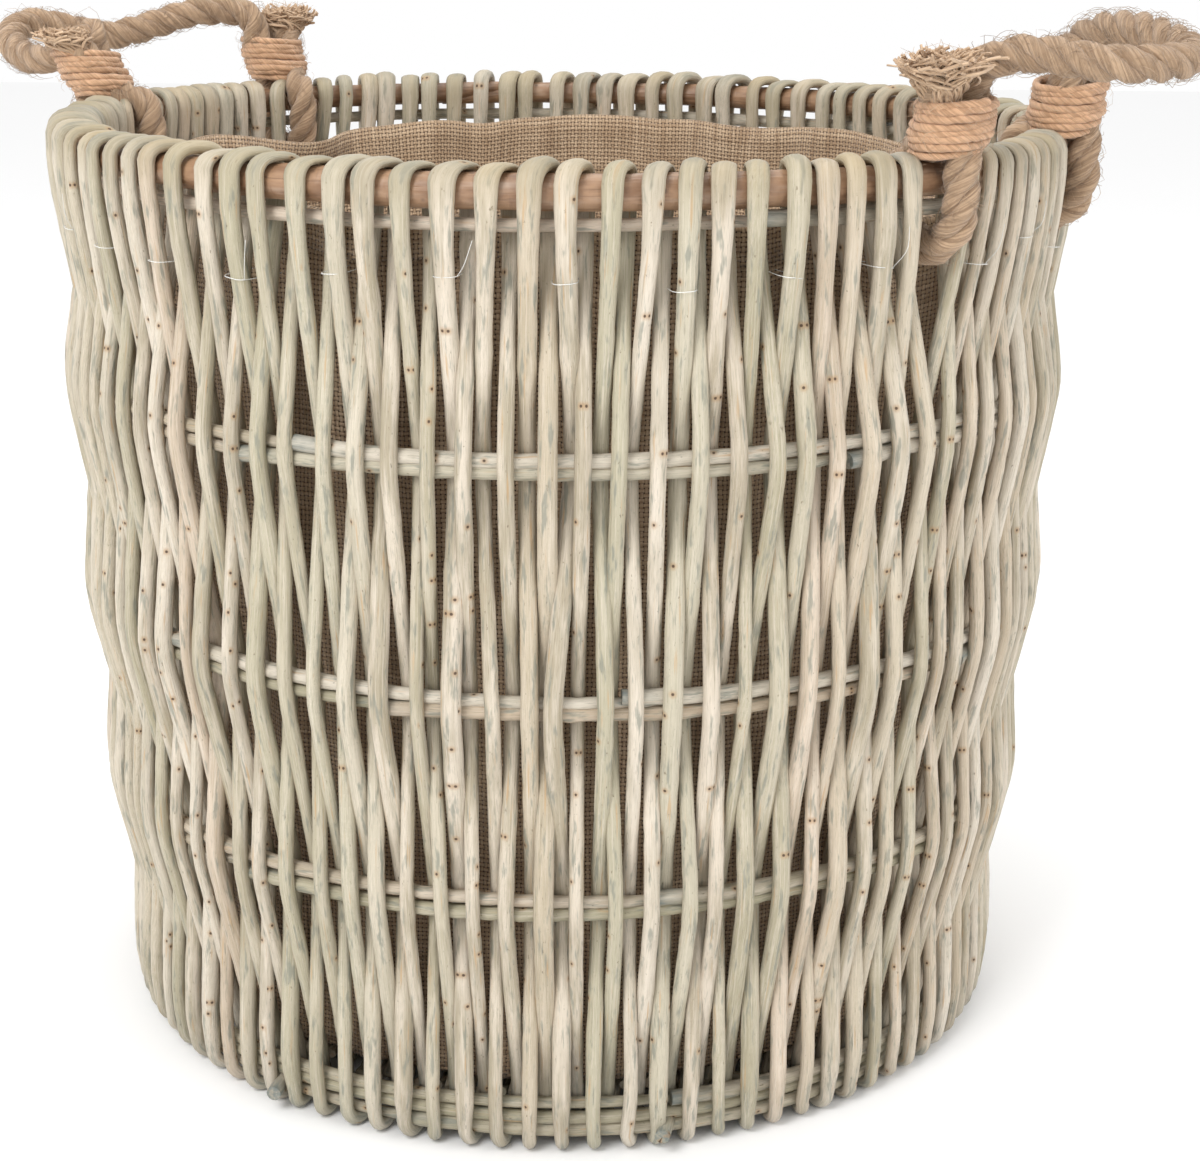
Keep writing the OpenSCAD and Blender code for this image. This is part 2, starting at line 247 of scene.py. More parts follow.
def round_stock_tree():
    """Geometry Nodes that lay round stock along every chain of points in a mesh.

    The points carry thick (radius), along (metres), seed, rub, stain, side and widen.
    """
    tree = bpy.data.node_groups.new("round_stock", "GeometryNodeTree")
    face = tree.interface
    face.new_socket("Geometry", in_out="INPUT", socket_type="NodeSocketGeometry")
    for name, kind, value in (
        ("Sides", "NodeSocketInt", 10),
        ("Unevenness", "NodeSocketFloat", 0.0003),
        ("Unevenness Scale", "NodeSocketFloat", 90.0),
        ("Finish", "NodeSocketMaterial", None),
    ):
        socket = face.new_socket(name, in_out="INPUT", socket_type=kind)
        if value is not None:
            socket.default_value = value
    face.new_socket("Geometry", in_out="OUTPUT", socket_type="NodeSocketGeometry")
    given = tree.nodes.new("NodeGroupInput").outputs

    def read(name, kind="FLOAT"):
        return wire(
            tree, "GeometryNodeInputNamedAttribute", {"Name": name}, data_type=kind
        ).outputs["Attribute"]

    def store(geometry, name, value, kind="FLOAT_VECTOR"):
        made = wire(
            tree, "GeometryNodeStoreNamedAttribute",
            {"Geometry": geometry, "Name": name, "Value": value},
            data_type=kind, domain="POINT",
        )
        return made.outputs[0]

    path = wire(tree, "GeometryNodeMeshToCurve", {"Mesh": given["Geometry"]}).outputs[0]
    here = tree.nodes.new("GeometryNodeInputPosition").outputs[0]
    path = store(path, "centre", here)
    circle = wire(
        tree, "GeometryNodeCurvePrimitiveCircle", {"Resolution": given["Sides"], "Radius": 1.0}
    ).outputs[0]
    circle = store(circle, "around", tree.nodes.new("GeometryNodeInputPosition").outputs[0])
    skin = wire(
        tree, "GeometryNodeCurveToMesh",
        {"Curve": path, "Profile Curve": circle, "Scale": read("thick"), "Fill Caps": True},
    ).outputs[0]

    # The grain runs lengthwise: two axes across the rod and the third along it.
    along = calc(tree, "ADD", read("along"), calc(tree, "MULTIPLY", read("seed"), 37.0))
    across = scaled(tree, read("around", "FLOAT_VECTOR"), read("thick"))
    lengthwise = wire(tree, "ShaderNodeCombineXYZ", {"Z": along}).outputs[0]
    skin = store(skin, "grain", vector_math(tree, "ADD", across, lengthwise))

    # Where a rod is bent hard it is squeezed flat and wide.
    now = tree.nodes.new("GeometryNodeInputPosition").outputs[0]
    arm = vector_math(tree, "SUBTRACT", now, read("centre", "FLOAT_VECTOR"))
    side = read("side", "FLOAT_VECTOR")
    sideways = scaled(tree, side, vector_math(tree, "DOT_PRODUCT", arm, side, output=1))
    flat = vector_math(tree, "SUBTRACT", arm, sideways)
    squeeze = vector_math(
        tree, "SUBTRACT",
        scaled(tree, sideways, read("widen")),
        scaled(tree, flat, calc(tree, "MULTIPLY", read("widen"), 0.75)),
    )
    skin = wire(
        tree, "GeometryNodeSetPosition", {"Geometry": skin, "Offset": squeeze}
    ).outputs[0]
    lumps = wire(
        tree, "ShaderNodeTexNoise",
        {"Vector": read("grain", "FLOAT_VECTOR"), "Scale": given["Unevenness Scale"], "Detail": 1.0},
    ).outputs[0]
    lift = calc(tree, "MULTIPLY", calc(tree, "SUBTRACT", lumps, 0.5), given["Unevenness"])
    normal = tree.nodes.new("GeometryNodeInputNormal").outputs[0]
    skin = wire(
        tree, "GeometryNodeSetPosition",
        {"Geometry": skin, "Offset": scaled(tree, normal, calc(tree, "MULTIPLY", lift, 2.0))},
    ).outputs[0]
    skin = wire(tree, "GeometryNodeSetShadeSmooth", {"Geometry": skin}).outputs[0]
    skin = wire(tree, "GeometryNodeRealizeInstances", {"Geometry": skin}).outputs[0]
    skin = wire(
        tree, "GeometryNodeSetMaterial", {"Geometry": skin, "Material": given["Finish"]}
    ).outputs[0]
    out = tree.nodes.new("NodeGroupOutput")
    tree.links.new(skin, out.inputs[0])
    return tree


round_stock = round_stock_tree()


def length_along(points):
    """Distance from the path's start at each point."""
    return np.concatenate([[0], np.cumsum(np.linalg.norm(np.diff(points, axis=0), axis=1))])


def lay_stock(name, chains, material, sides=10, unevenness=0.0003, lump_scale=90.0):
    """A plain mesh of round stock laid along chains of points.

    A chain is a dict with points and thick, and perhaps seed, rub, stain, side and widen.
    """
    points = np.concatenate([chain["points"] for chain in chains])
    edges = []
    start = 0
    columns = {key: [] for key in ("thick", "along", "seed", "rub", "stain", "widen")}
    sides_of = []
    for chain in chains:
        count = len(chain["points"])
        edges += [(start + i, start + i + 1) for i in range(count - 1)]
        start += count
        columns["along"].append(length_along(chain["points"]))
        for key in ("thick", "seed", "rub", "stain", "widen"):
            columns[key].append(np.broadcast_to(chain.get(key, 0.0), count))
        sides_of.append(np.broadcast_to(chain.get("side", (0.0, 0.0, 0.0)), (count, 3)))
    mesh = bpy.data.meshes.new(name)
    mesh.from_pydata(points.tolist(), edges, [])
    for key, parts in columns.items():
        layer = mesh.attributes.new(key, "FLOAT", "POINT")
        layer.data.foreach_set("value", np.concatenate(parts).astype(np.float32))
    layer = mesh.attributes.new("side", "FLOAT_VECTOR", "POINT")
    layer.data.foreach_set("vector", np.concatenate(sides_of).astype(np.float32).ravel())
    draft = bpy.data.objects.new(name + "_draft", mesh)
    bpy.context.collection.objects.link(draft)
    modifier = draft.modifiers.new("round_stock", "NODES")
    modifier.node_group = round_stock
    choices = {
        "Sides": sides, "Unevenness": unevenness,
        "Unevenness Scale": lump_scale, "Finish": material,
    }
    for item in round_stock.interface.items_tree:
        if item.in_out == "INPUT" and item.name in choices:
            modifier[item.identifier] = choices[item.name]
    done = bpy.data.meshes.new_from_object(
        draft.evaluated_get(bpy.context.evaluated_depsgraph_get())
    )
    bpy.data.objects.remove(draft)
    made = bpy.data.objects.new(name, done)
    bpy.context.collection.objects.link(made)
    return made


def smooth_path(points, step):
    """A Catmull-Rom curve through the points, in equal steps of about step metres."""
    points = np.asarray(points, float)
    ends = np.vstack([2 * points[0] - points[1], points, 2 * points[-1] - points[-2]])
    fine = []
    for i in range(len(points) - 1):
        a, b, c, d = ends[i : i + 4]
        for t in np.linspace(0, 1, 24, endpoint=False):
            fine.append(
                0.5 * (2 * b + (c - a) * t + (2 * a - 5 * b + 4 * c - d) * t**2
                       + (3 * b - a - 3 * c + d) * t**3)
            )
    fine.append(points[-1])
    fine = np.array(fine)
    length = length_along(fine)
    wanted = np.linspace(0, length[-1], max(3, int(round(length[-1] / step)) + 1))
    return np.stack([np.interp(wanted, length, fine[:, k]) for k in range(3)], axis=1)


def frames_along(points):
    """Two unit directions across a path at each point, turning as little as possible."""
    way = np.gradient(points, axis=0)
    way /= np.linalg.norm(way, axis=1)[:, None]
    first = np.cross(way[0], (0.0, 0.0, 1.0))
    if np.linalg.norm(first) < 1e-6:
        first = np.array((1.0, 0.0, 0.0))
    across = [first / np.linalg.norm(first)]
    for i in range(1, len(points)):
        turned = across[-1] - way[i] * np.dot(across[-1], way[i])
        across.append(turned / np.linalg.norm(turned))
    across = np.array(across)
    return across, np.cross(way, across)


def jute_finish(name, pale, dark, lay, fibre_bump):
    """Twisted jute: fibres wind round each strand, with pale and dark yarns and lint."""
    made, shader, tree = material_tree(name)
    grain = attribute(tree, "grain")
    parts = wire(tree, "ShaderNodeSeparateXYZ", {"Vector": grain}).outputs
    wound = wire(
        tree, "ShaderNodeVectorRotate",
        {"Vector": grain, "Angle": calc(tree, "MULTIPLY", parts[2], -2 * math.pi / lay)},
        rotation_type="Z_AXIS",
    ).outputs[0]
    yarns = noise(tree, stretched(tree, wound, 900.0, 25.0), 1.0, 2.0, 0.6)
    fibres = noise(tree, stretched(tree, wound, 2600.0, 90.0), 1.0, 3.0, 0.7)
    patches = noise(tree, stretched(tree, grain, 120.0, 22.0), 1.0, 2.0, 0.6)
    body = blend_colour(tree, ramp(tree, yarns, 0.34, 0.66), dark, pale)
    body = layered(tree, body, (
        (fibres, (0.55, 0.8, 0.0, 0.55), (0.86, 0.66, 0.46)),
        (fibres, (0.2, 0.42, 0.75, 0.0), (0.17, 0.105, 0.06)),
        (patches, (0.3, 0.75, 0.0, 0.45), dark[:3]),
    ))
    tree.links.new(body, shader.inputs["Base Color"])
    shader.inputs["Roughness"].default_value = 0.86
    shader.inputs["Specular IOR Level"].default_value = 0.25
    shader.inputs["Sheen Weight"].default_value = 0.25
    shader.inputs["Sheen Roughness"].default_value = 0.5
    height = calc(tree, "ADD", yarns, calc(tree, "MULTIPLY", fibres, 0.6))
    bump(tree, shader, height, fibre_bump)
    return made


rope_finish = jute_finish(
    "jute_rope_finish", (0.57, 0.395, 0.255, 1), (0.31, 0.20, 0.12, 1), 0.030, 0.0011
)


def place_at(turn, out, aside, up):
    """A point from the basket's axis: out along a direction, aside to its left, and up."""
    return np.array((
        out * math.cos(turn) - aside * math.sin(turn),
        out * math.sin(turn) + aside * math.cos(turn),
        up,
    ))


def tipped(lean, up):
    """How far out a leaning whipping stands at a height; both its ropes lean with it."""
    return lean * max(0.0, up - rim_z - 0.004)


def eye_route(turn, away, lean):
    """From the frayed end down through the whipping, round the rim and up to the arch's root."""
    reach = rim_rod_r + rope_r + 0.0005
    centre = top_hoop_z
    neck = whipping_low - 0.001
    route = [
        (eye_lean - 0.002, away * (root_shift + 0.003), whipping_top + 0.006),
        (eye_lean - 0.004, away * root_shift, whipping_top - 0.004),
        (eye_lean - 0.008, away * 0.004, neck + 0.006),
        (-reach + 0.002, 0.0, rim_z + 0.008),
        (-reach, 0.0, rim_z - 0.004),
        (-reach * 0.92, 0.0, centre - 0.006),
        (-reach * 0.45, 0.0, centre - reach * 0.9),
        (reach * 0.1, 0.0, centre - reach),
        (reach * 0.75, 0.0, centre - reach * 0.62),
        (reach, 0.0, centre),
        (reach, 0.0, rim_z - 0.002),
        (reach - 0.001, 0.0, rim_z + 0.010),
        (eye_lean + 0.008, -away * 0.004, neck + 0.008),
        (eye_lean + 0.002, -away * root_shift, whipping_top - 0.010),
    ]
    return [
        place_at(turn, rim_radius + out + tipped(lean, up), aside, up)
        for out, aside, up in route
    ]


strand_out = 0.235
strand_thick = 0.262


def strands(path, size, lay, start_turn=0.0, part=slice(None)):
    """Three strands laid round a path, as chains of points; part keeps a stretch of them."""
    across, lift = frames_along(path)
    along = length_along(path)
    chains = []
    for k in range(3):
        angle = start_turn + 2 * math.pi * (along / lay + k / 3)
        ring = across * np.cos(angle)[:, None] + lift * np.sin(angle)[:, None]
        chains.append({
            "points": (path + ring * size * strand_out)[part],
            "thick": size * strand_thick,
            "seed": 0.31 * k + start_turn,
        })
    return chains


def fuzz(path, part, radius, chance, count):
    """Loose fibre ends that stand off a cord of a radius and curl away from it."""
    across, lift = frames_along(path)
    places = range(len(path))[part]
    chains = []
    for k in range(count):
        i = chance.choice(places)
        around = chance.uniform(0, 2 * math.pi)
        way = path[min(i + 1, len(path) - 1)] - path[max(i - 1, 0)]
        way = way / np.linalg.norm(way) * chance.choice((-1, 1))
        reach = chance.uniform(0.003, 0.010)
        bend = chance.uniform(-2.5, 2.5)
        points = []
        for t in (0.0, 0.25, 0.5, 0.75, 1.0):
            turn = around + bend * t * t
            off = across[i] * math.cos(turn) + lift[i] * math.sin(turn)
            rise = radius * 0.85 + reach * 0.55 * t * (1.6 - t)
            points.append(path[i] + off * rise + way * reach * t)
        chains.append({
            "points": np.array(points),
            "thick": chance.uniform(0.00010, 0.00018) * np.linspace(1, 0.5, 5),
            "seed": chance.random(),
        })
    return chains


rope_step = 0.0022
rope_lay = 0.041
for hand, places in handles.items():
    middle = (places["front"] + places["rear"]) / 2 * rod_step
    half_span = abs(places["front"] - places["rear"]) / 2 * rod_step
    hinge_out = (rim_radius + eye_lean) * math.cos(half_span)
    widening = (rim_radius * math.sin(half_span) + 0.001 - root_shift) / places["arch"][-1][0]
    # The route runs from the end with the lower direction to the other one.
    ends = sorted(("front", "rear"), key=lambda end: places[end])
    arch = []
    for i, (aside, out, up) in enumerate(places["arch"]):
        for end, away in zip(ends, (i, len(places["arch"]) - 1 - i)):
            out += tipped(places["lean"][end], hinge_z) * max(0.0, 1 - away / 6)
        arch.append(place_at(middle, hinge_out + out, aside * widening, hinge_z + up))
    first_eye, last_eye = (
        eye_route(places[end] * rod_step, places["away"][end], places["lean"][end])
        for end in ends
    )
    route = first_eye + arch + last_eye[::-1]
    path = smooth_path(route, rope_step)
    first_root = int(np.argmin(np.linalg.norm(path - first_eye[-1], axis=1)))
    last_root = int(np.argmin(np.linalg.norm(path - last_eye[-1], axis=1)))
    pieces = {
        f"{hand}_eye_{ends[0]}": slice(0, first_root + 2),
        f"{hand}_handle_rope": slice(first_root, last_root + 1),
        f"{hand}_eye_{ends[1]}": slice(last_root - 1, len(path)),
    }
    for node, part in pieces.items():
        chains = strands(path, rope_d, rope_lay, 0.4 if hand == "left" else 0.0, part)
        rope = lay_stock(node + "_laid", chains, rope_finish, 14, 0.0012, 380.0)
        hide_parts(node)
        chance = random.Random(node)
        hairs = fuzz(path, part, rope_r, chance, 700 if node.endswith("handle_rope") else 260)
        hair = lay_stock(node + "_fuzz", hairs, rope_finish, 3, 0.0, 100.0)
        if node.endswith("handle_rope"):
            end = place_at(middle, hinge_out + 0.012, 0, hinge_z + 0.006)
            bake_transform(rope)
            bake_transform(hair)
        else:
            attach(rope, "root")
            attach(hair, "root")


# ---------------------------------------------------------------- whippings
# Jute twine wound eight times round both legs of each eye, pulled tight and tucked
# under itself, so that the turns lie a little unevenly.
twine_r = 0.0017
twine_turns = 8
steps_a_turn = 44
bound_out = 0.0165
bound_aside = 0.0168
twine_finish = jute_finish(
    "jute_twine_finish", (0.73, 0.455, 0.275, 1), (0.44, 0.255, 0.145, 1), 0.012, 0.0008
)
frayed_finish = jute_finish(
    "frayed_jute_finish", (0.70, 0.51, 0.34, 1), (0.46, 0.31, 0.195, 1), 0.030, 0.0006
)


def stands_for(piece, node):
    """The piece belongs to the basket's body and takes the place of a CAD node."""
    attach(piece, "root")
    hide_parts(node)


for hand, places in handles.items():
    for end in ("front", "rear"):
        node = f"{hand}_whipping_{end}"
        chance = random.Random(node)
        turn = places[end] * rod_step
        steps = steps_a_turn * twine_turns
        coil = []
        slant = chance.uniform(0.001, 0.0025)
        for i in range(steps + 1):
            angle = 2 * math.pi * i / steps_a_turn
            share = i / steps
            waist = 0.80 + 0.20 * min(1.0, share / 0.3) - 0.05 * share
            wander = 0.0005 * math.sin(angle * 1.7 + 3 * share) + 0.0003 * math.sin(angle * 5.3)
            height = whipping_low + twine_r + share * (whipping_top - whipping_low - 2 * twine_r)
            height += slant * math.sin(angle) + 0.0005 * math.sin(angle * 0.73 + 1)
            coil.append(place_at(
                turn,
                rim_radius + eye_lean + tipped(places["lean"][end], height)
                + (bound_out * waist + wander) * math.cos(angle),
                (bound_aside * waist + wander) * math.sin(angle),
                height,
            ))
        whipping = lay_stock(
            node + "_wound", [{"points": np.array(coil), "thick": twine_r * 1.12}],
            twine_finish, 10, 0.0009, 500.0,
        )
        hairs = fuzz(np.array(coil), slice(None), twine_r, chance, 150)
        hair = lay_stock(node + "_fuzz", hairs, frayed_finish, 3, 0.0, 100.0)
        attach(hair, "root")
        stands_for(whipping, node)


# ---------------------------------------------------------------- frayed ends
# Above each whipping the rope's three strands are left open: a tuft of yarns that
# spread and curl, with fine fibres between them.
yarns_in_tuft = 300
fibres_in_tuft = 140
points_in_yarn = 12
rope_end_r = 0.0072
tuft_sizes = {"right_tuft_front": 1.0, "left_tuft_front": 0.6}
for hand, places in handles.items():
    for end in ("front", "rear"):
        node = f"{hand}_tuft_{end}"
        chance = random.Random(node)
        turn = places[end] * rod_step
        away = places["away"][end]
        lean = places["lean"][end]
        base_out = rim_radius + eye_lean - 0.002 + tipped(lean, whipping_top)
        size = tuft_sizes.get(node, 0.85)
        chains = []
        for k in range(yarns_in_tuft + fibres_in_tuft):
            fine = k >= yarns_in_tuft
            heading = chance.uniform(0, 2 * math.pi)
            spread = math.sqrt(chance.random())
            bend = 0.05 + 0.75 * spread * chance.uniform(0.2, 1.0)
            reach = size * chance.uniform(0.014, 0.023) * (1.12 if fine else 1.0)
            curl = chance.uniform(-2.6, 2.6)
            wave = size * chance.uniform(0.0010, 0.0028)
            phase = chance.uniform(0, 6)
            turns = chance.uniform(5, 12)
            points = []
            for i in range(points_in_yarn):
                t = i / (points_in_yarn - 1)
                swing = heading + curl * t * t
                out = spread * rope_end_r + reach * t * math.sin(bend * (0.3 + 0.9 * t))
                up = whipping_top - 0.004 + reach * (t * math.cos(bend * t * 0.9) + 0.06)
                wave_now = wave * min(1.0, 2 * t)
                points.append(place_at(
                    turn,
                    base_out + lean * reach * t + out * math.cos(swing)
                    + wave_now * math.sin(phase + turns * t),
                    away * (root_shift + 0.007 * t * size) + out * math.sin(swing)
                    + wave_now * math.cos(phase + turns * t),
                    up + 0.5 * wave_now * math.sin(2 * phase + turns * t),
                ))
            thread = chance.uniform(0.00010, 0.00018) if fine else chance.uniform(0.0006, 0.0010)
            taper = np.linspace(1.0, 0.5 if fine else 0.75, points_in_yarn)
            chains.append({
                "points": np.array(points), "thick": thread * taper, "seed": chance.random(),
            })
        tuft = lay_stock(node + "_frayed", chains, frayed_finish, 5, 0.0002, 600.0)
        stands_for(tuft, node)


# ---------------------------------------------------------------- hairpin rods
# Peeled willow rods, white-washed and rubbed down. Each is bent over the rim, where
# it is squeezed flat, and its legs pass on opposite sides of every hoop; the outer
# leg turns in under the foot. Rods are thick at the butt and thin at the tip.
foot_radius, foot_low_z, foot_hoop_r = measure_ring("foot_hoop_low")
foot_high_z = measure_ring("foot_hoop_high")[1]
foot_thick = 0.0033
hoop_gap = 0.0003
bands = []
for level in ("upper", "middle", "lower"):
    high = measure_ring(level + "_weaver_high")
    low = measure_ring(level + "_weaver_low")
    bands.append(((high[1] + low[1]) / 2, high[2]))


def belly(z):
    """How far the woven wall bulges past a straight cone at a height; the foot is drawn in."""
    share = np.clip((z - foot_low_z) / (rim_z - foot_low_z), 0, 1)
    return 0.0055 * np.sin(math.pi * share ** 1.5) - 0.0035 * (1 - share) ** 8


def hoop_radius(z):
    """Radius of the wall's middle at a height."""
    share = (z - foot_low_z) / (rim_z - foot_low_z)
    return foot_radius + (rim_radius - foot_radius) * share + belly(z)


def willow_finish(name, pale, deep, seed_shift):
    """White-washed willow: lengthwise streaks, beige rubs, grey stains and bud scars."""
    made, shader, tree = material_tree(name)
    grain = attribute(tree, "grain")
    around = wire(tree, "ShaderNodeSeparateXYZ", {"Vector": attribute(tree, "around")}).outputs
    seed = attribute(tree, "seed", "Fac")
    length = attribute(tree, "along", "Fac")
    streaks = noise(tree, stretched(tree, grain, 1300.0, 22.0), 1.0, 3.0, 0.7)
    fine = noise(tree, stretched(tree, grain, 3600.0, 120.0), 1.0, 2.0, 0.6)
    clouds = noise(tree, stretched(tree, grain, 150.0, 20.0), 1.0, 3.0, 0.6)
    stains = noise(tree, stretched(tree, grain, 210.0, 34.0), 1.7, 3.0, 0.6)
    own = wire(
        tree, "ShaderNodeTexWhiteNoise",
        {"W": calc(tree, "ADD", seed, seed_shift)}, noise_dimensions="1D",
    ).outputs
    tint = wire(tree, "ShaderNodeSeparateXYZ", {"Vector": own["Color"]}).outputs
    warm = noise(tree, stretched(tree, grain, 260.0, 18.0), 2.3, 1.0, 0.5)
    specks = noise(tree, stretched(tree, grain, 800.0, 330.0), 1.0, 3.0, 0.6)
    body = blend_colour(tree, ramp(tree, clouds, 0.36, 0.64), deep, pale)
    body = layered(tree, body, (
        (tint[2], (0.55, 1.0, 0.0, 0.6), (0.74, 0.68, 0.58)),
        (tint[0], (0.3, 1.0, 0.0, 0.75), (0.37, 0.34, 0.225)),
        (tint[1], (0.6, 1.0, 0.0, 0.6), (0.60, 0.46, 0.345)),
        (streaks, (0.47, 0.72, 0.0, 0.42), (0.74, 0.665, 0.56)),
        (streaks, (0.22, 0.42, 0.6, 0.0), (0.24, 0.205, 0.135)),
        (fine, (0.28, 0.44, 0.5, 0.0), (0.17, 0.145, 0.10)),
        (stains, (0.54, 0.68, 0.0, 0.7), (0.215, 0.225, 0.185)),
        (warm, (0.64, 0.8, 0.0, 0.6), (0.50, 0.31, 0.15)),
        (specks, (0.66, 0.74, 0.0, 0.7), (0.15, 0.12, 0.075)),
    ))
    rub = attribute(tree, "rub", "Fac")
    body = blend_colour(tree, calc(tree, "MULTIPLY", rub, 0.8), body, (0.39, 0.30, 0.16, 1))
    stain = calc(tree, "MULTIPLY", attribute(tree, "stain", "Fac"), ramp(tree, stains, 0.3, 0.6, 0.4, 1))
    body = blend_colour(tree, stain, body, (0.16, 0.185, 0.175, 1))

    # Bud scars: small dark dots, some in pairs, each in a faint warm patch
    angle = calc(tree, "ARCTAN2", around[1], around[0])
    spread_out = calc(tree, "MULTIPLY", angle, 0.004)
    scar_height = 0.0
    for shift, scarce in ((0.0, 0.58), (0.0026, 0.86)):
        sideways = calc(tree, "ADD", calc(tree, "MULTIPLY", seed, 11.0), shift)
        spot = wire(
            tree, "ShaderNodeCombineXYZ",
            {"X": calc(tree, "ADD", spread_out, sideways),
             "Y": calc(tree, "ADD", length, calc(tree, "MULTIPLY", seed, 29.0))},
        ).outputs[0]
        cells = wire(
            tree, "ShaderNodeTexVoronoi", {"Vector": spot, "Scale": 48.0},
            voronoi_dimensions="2D",
        ).outputs
        draw = wire(tree, "ShaderNodeSeparateXYZ", {"Vector": cells["Color"]}).outputs[0]
        kept = calc(tree, "GREATER_THAN", draw, scarce)
        halo = calc(tree, "MULTIPLY", ramp(tree, cells["Distance"], 0.02, 0.13, 0.55, 0.0), kept)
        dot = calc(tree, "MULTIPLY", ramp(tree, cells["Distance"], 0.020, 0.042, 0.9, 0.0), kept)
        body = blend_colour(tree, halo, body, (0.40, 0.23, 0.10, 1))
        body = blend_colour(tree, dot, body, (0.06, 0.035, 0.02, 1))
        scar_height = calc(tree, "SUBTRACT", scar_height, dot)
    tree.links.new(body, shader.inputs["Base Color"])
    rough = ramp(tree, clouds, 0.2, 0.8, 0.58, 0.44)
    tree.links.new(rough, shader.inputs["Roughness"])
    shader.inputs["Specular IOR Level"].default_value = 0.38
    height = calc(tree, "ADD", calc(tree, "MULTIPLY", streaks, 0.8), calc(tree, "MULTIPLY", fine, 0.35))
    height = calc(tree, "ADD", height, calc(tree, "MULTIPLY", scar_height, 0.5))
    bump(tree, shader, height, 0.0006, 0.9)
    return made


rod_finish = willow_finish("washed_willow", (0.62, 0.545, 0.445, 1), (0.38, 0.325, 0.235, 1), 0.0)


eye_places = [places[end] for places in handles.values() for end in ("front", "rear")]


def rods_from_eyes(place):
    """How many rods a place is past each rope eye; before it counts as less than 0."""
    half = rod_places / 2
    return [(place - eye + half) % rod_places - half for eye in eye_places]


def eye_push(place):
    """How far the rope eyes push a rod's top sideways, in places of rods."""
    reach = 7
    total = 0.0
    for away in rods_from_eyes(place):
        if abs(away) < reach:
            total += math.copysign(0.7 * (1 - abs(away) / reach), away)
    return total


def leg_points(turn_top, turn_foot, levels, sways, step=0.006):
    """Points down a leg: levels are heights with the side of the hoops it passes."""
    heights = np.array([z for z, side in levels])
    offsets = np.array([side for z, side in levels])
    count = int((heights[0] - heights[-1]) / step) + 1
    z = np.linspace(heights[0], heights[-1], count)

    def eased(values):
        """The values between the levels, with their corners rounded off."""
        between = np.interp(-z, -heights, values)
        padded = np.concatenate([[between[0]] * 2, between, [between[-1]] * 2])
        return np.convolve(padded, (0.12, 0.2, 0.36, 0.2, 0.12), "valid")

    share = np.clip((rim_z - z) / (rim_z - bands[0][0]), 0, 1)
    turn = turn_top + (turn_foot - turn_top) * share
    radius = hoop_radius(z) + eased(offsets)
    turn = turn + eased(sways) / radius
    return np.stack([radius * np.cos(turn), radius * np.sin(turn), z], axis=1)


